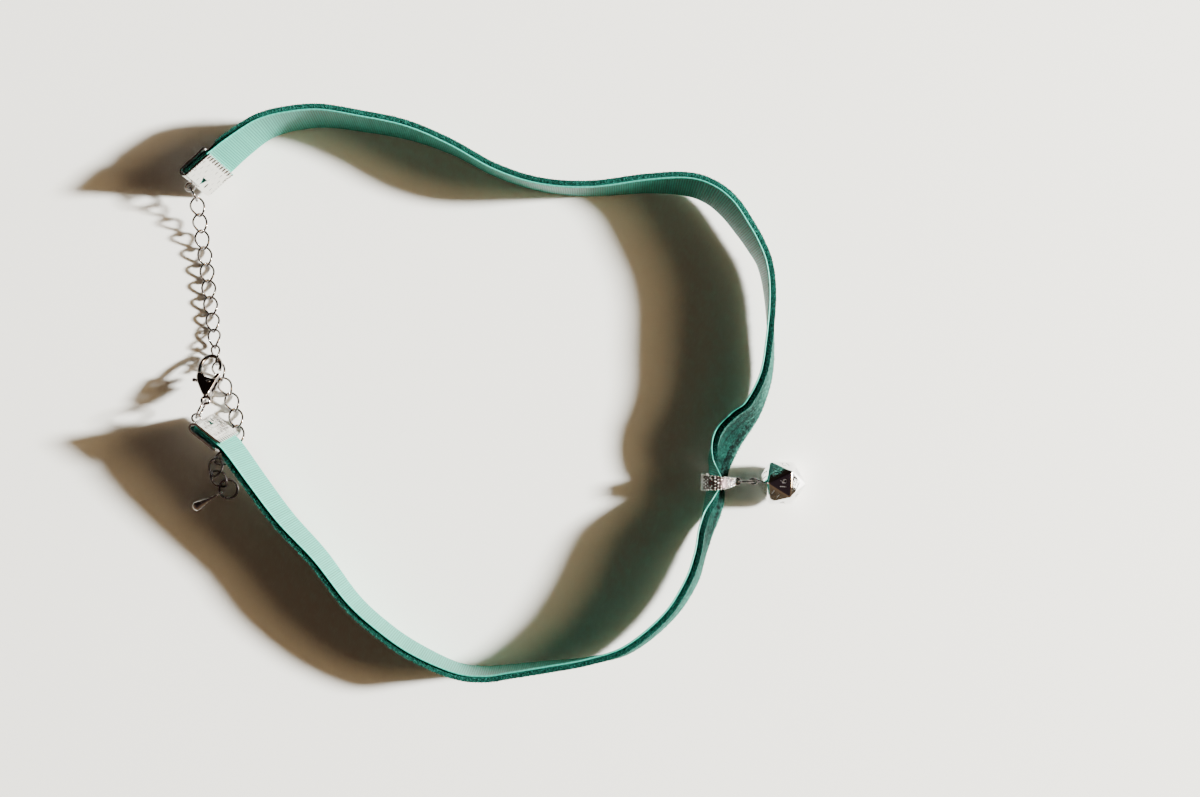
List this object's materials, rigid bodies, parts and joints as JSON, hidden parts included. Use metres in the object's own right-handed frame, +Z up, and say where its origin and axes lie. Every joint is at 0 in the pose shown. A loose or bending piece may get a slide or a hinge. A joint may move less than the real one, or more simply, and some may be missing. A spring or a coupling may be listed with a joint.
{
  "type": "choker necklace",
  "caption": "Velvet ribbon choker necklace lying in a closed loop, with a lobster clasp on an extender chain and a polished polyhedral die charm on a bail.",
  "frame": {"origin": "middle of the whole part's underside, on the surface that it lies on", "axes": "+X from the chain's side of the loop to the charm's side, +Y to the ribbon's far side, +Z up"},
  "size_m": [0.122, 0.1126, 0.0126],
  "materials": {
    "velvet": "dark green velvet pile outside, ribbed pale green back inside",
    "silver": "bright silver-tone plating",
    "polished": "mirror-polished silver tone"
  },
  "bodies": {
    "choker": {"velvet_ribbon": "velvet", "crimp_chain_end": "silver", "crimp_clasp_end": "silver", "chain_jump_ring": "silver", "chain_link_01": "silver", "chain_link_02": "silver", "chain_link_03": "silver", "chain_link_04": "silver", "chain_link_05": "silver", "chain_link_06": "silver", "chain_link_07": "silver", "chain_link_08": "silver", "chain_link_09": "silver", "chain_link_10": "silver", "chain_link_11": "silver", "chain_link_12": "silver", "chain_link_13": "silver", "chain_link_14": "silver", "chain_link_15": "silver", "chain_link_16": "silver", "chain_link_17": "silver", "chain_link_18": "silver", "chain_link_19": "silver", "end_jump_ring": "silver", "teardrop": "silver", "clasp_jump_ring": "silver", "clasp_body": "silver", "bail": "silver", "bail_ring": "silver", "die_charm": "polished"},
    "lever": {"clasp_lever": "silver"}
  },
  "joints": [
    {"name": "lever_hinge", "type": "hinge", "parent": "choker", "child": "lever", "pos_m": [-0.05643, 0.00173, 0.00472], "axis": [-0.0135, 0.4831, 0.8755], "range_deg": [0, 35], "stiffness_Nm_per_rad": 0.002}
  ]
}
